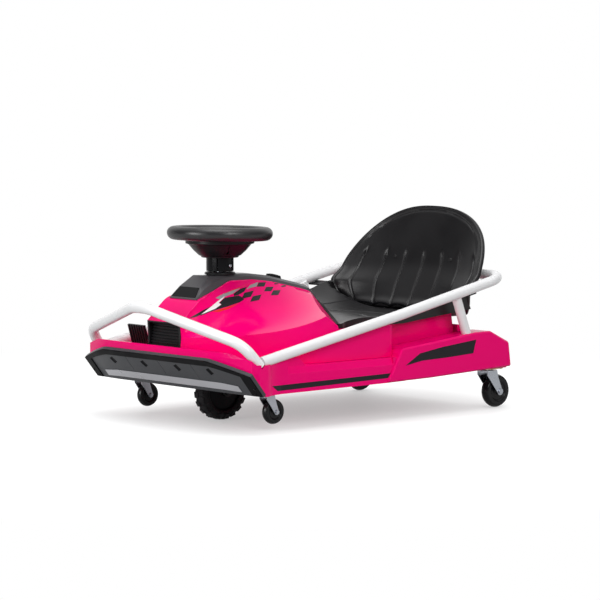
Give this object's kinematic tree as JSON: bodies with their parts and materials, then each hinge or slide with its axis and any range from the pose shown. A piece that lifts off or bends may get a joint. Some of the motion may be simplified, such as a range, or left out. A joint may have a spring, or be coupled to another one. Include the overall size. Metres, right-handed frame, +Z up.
{
  "type": "electric drift kart",
  "caption": "Low electric drift kart: steered drive wheel, swivel casters, moulded body with hooded cowl, bucket seat and tubular guard rails.",
  "frame": {"origin": "middle of the kart's box at floor level", "axes": "+Z up, the front faces -Y, +X is the driver's left"},
  "size_m": [0.674, 1.0462, 0.53],
  "materials": {
    "pink_gloss_plastic": "gloss",
    "black_satin_plastic": "satin",
    "dark_grey_plastic": "satin",
    "silver_strip": "satin",
    "white_powder_coat": "gloss powder coat",
    "zinc_plated_steel": "zinc plated",
    "black_rubber": "matte",
    "seat_black_plastic": "satin",
    "black_frame_paint": "satin",
    "battery_case": "matte",
    "cast_aluminium": "cast"
  },
  "bodies": {
    "kart": {"lower_tub": "pink_gloss_plastic", "upper_shell": "pink_gloss_plastic", "cowl_cap": "black_satin_plastic", "nose_grille": "black_satin_plastic", "front_bumper": "dark_grey_plastic", "bumper_border": "black_satin_plastic", "bumper_strip": "silver_strip", "guard_hoop": "white_powder_coat", "guard_rails": "white_powder_coat", "guard_post_left": "white_powder_coat", "guard_post_right": "white_powder_coat", "seat_back": "seat_black_plastic", "seat_pad": "seat_black_plastic", "seat_saddle_left": "black_satin_plastic", "seat_saddle_right": "black_satin_plastic", "seat_bracket_left": "black_satin_plastic", "seat_bracket_right": "black_satin_plastic", "column_flange": "black_satin_plastic", "switch_bezel": "black_satin_plastic", "chassis_frame": "black_frame_paint", "steering_head": "black_frame_paint", "head_bearing_upper": "zinc_plated_steel", "head_bearing_lower": "zinc_plated_steel", "battery_tray": "zinc_plated_steel", "battery_front": "battery_case", "battery_rear": "battery_case", "speed_controller": "cast_aluminium", "charge_socket": "black_satin_plastic", "pedal_bracket": "zinc_plated_steel", "pedal_pin": "zinc_plated_steel", "pedal_spring": "zinc_plated_steel", "front_left_caster_plate": "zinc_plated_steel", "front_right_caster_plate": "zinc_plated_steel", "rear_left_caster_plate": "zinc_plated_steel", "rear_right_caster_plate": "zinc_plated_steel"},
    "steering": {"drive_fork": "zinc_plated_steel", "drive_axle": "zinc_plated_steel", "steering_shaft": "zinc_plated_steel", "clamp_collar": "black_satin_plastic", "collar_bolt": "zinc_plated_steel", "steering_boss": "black_satin_plastic", "steering_rim": "black_satin_plastic"},
    "drive_wheel": {"drive_tyre": "black_rubber", "hub_motor": "cast_aluminium"},
    "pedal": {"drive_pedal": "black_satin_plastic"},
    "button": {"power_button": "black_rubber"},
    "front_left_swivel": {"front_left_caster_fork": "zinc_plated_steel", "front_left_caster_bolt": "zinc_plated_steel"},
    "front_left_wheel": {"front_left_caster_wheel": "black_rubber"},
    "front_right_swivel": {"front_right_caster_fork": "zinc_plated_steel", "front_right_caster_bolt": "zinc_plated_steel"},
    "front_right_wheel": {"front_right_caster_wheel": "black_rubber"},
    "rear_left_swivel": {"rear_left_caster_fork": "zinc_plated_steel", "rear_left_caster_bolt": "zinc_plated_steel"},
    "rear_left_wheel": {"rear_left_caster_wheel": "black_rubber"},
    "rear_right_swivel": {"rear_right_caster_fork": "zinc_plated_steel", "rear_right_caster_bolt": "zinc_plated_steel"},
    "rear_right_wheel": {"rear_right_caster_wheel": "black_rubber"}
  },
  "joints": [
    {"name": "steering_turn", "type": "hinge", "parent": "kart", "child": "steering", "pos_m": [0, -0.25195, 0.3], "axis": [0, 0, 1], "continuous": true},
    {"name": "drive_wheel_roll", "type": "hinge", "parent": "steering", "child": "drive_wheel", "pos_m": [0, -0.25195, 0.075], "axis": [1, 0, 0], "continuous": true},
    {"name": "pedal_press", "type": "hinge", "parent": "kart", "child": "pedal", "pos_m": [-0.157, -0.37995, 0.165], "axis": [1, 0, 0], "range_deg": [0, 12], "stiffness_Nm_per_rad": 0.8, "springref_deg": -8.59},
    {"name": "power_button_press", "type": "slide", "parent": "kart", "child": "button", "axis": [0, 0, 1], "range_m": [-0.002, 0], "stiffness_N_per_m": 300, "springref_m": 0.0005},
    {"name": "front_left_swivel_turn", "type": "hinge", "parent": "kart", "child": "front_left_swivel", "pos_m": [0.255, -0.30995, 0.06619], "axis": [0, 0, 1], "continuous": true},
    {"name": "front_left_wheel_roll", "type": "hinge", "parent": "front_left_swivel", "child": "front_left_wheel", "pos_m": [0.255, -0.29095, 0.04619], "axis": [1, 0, 0], "continuous": true},
    {"name": "front_right_swivel_turn", "type": "hinge", "parent": "kart", "child": "front_right_swivel", "pos_m": [-0.255, -0.30995, 0.06619], "axis": [0, 0, 1], "continuous": true},
    {"name": "front_right_wheel_roll", "type": "hinge", "parent": "front_right_swivel", "child": "front_right_wheel", "pos_m": [-0.255, -0.29095, 0.04619], "axis": [1, 0, 0], "continuous": true},
    {"name": "rear_left_swivel_turn", "type": "hinge", "parent": "kart", "child": "rear_left_swivel", "pos_m": [0.269, 0.44905, 0.06364], "axis": [0, 0, 1], "continuous": true},
    {"name": "rear_left_wheel_roll", "type": "hinge", "parent": "rear_left_swivel", "child": "rear_left_wheel", "pos_m": [0.269, 0.47905, 0.04364], "axis": [1, 0, 0], "continuous": true},
    {"name": "rear_right_swivel_turn", "type": "hinge", "parent": "kart", "child": "rear_right_swivel", "pos_m": [-0.269, 0.44905, 0.06364], "axis": [0, 0, 1], "continuous": true},
    {"name": "rear_right_wheel_roll", "type": "hinge", "parent": "rear_right_swivel", "child": "rear_right_wheel", "pos_m": [-0.269, 0.47905, 0.04364], "axis": [1, 0, 0], "continuous": true}
  ]
}
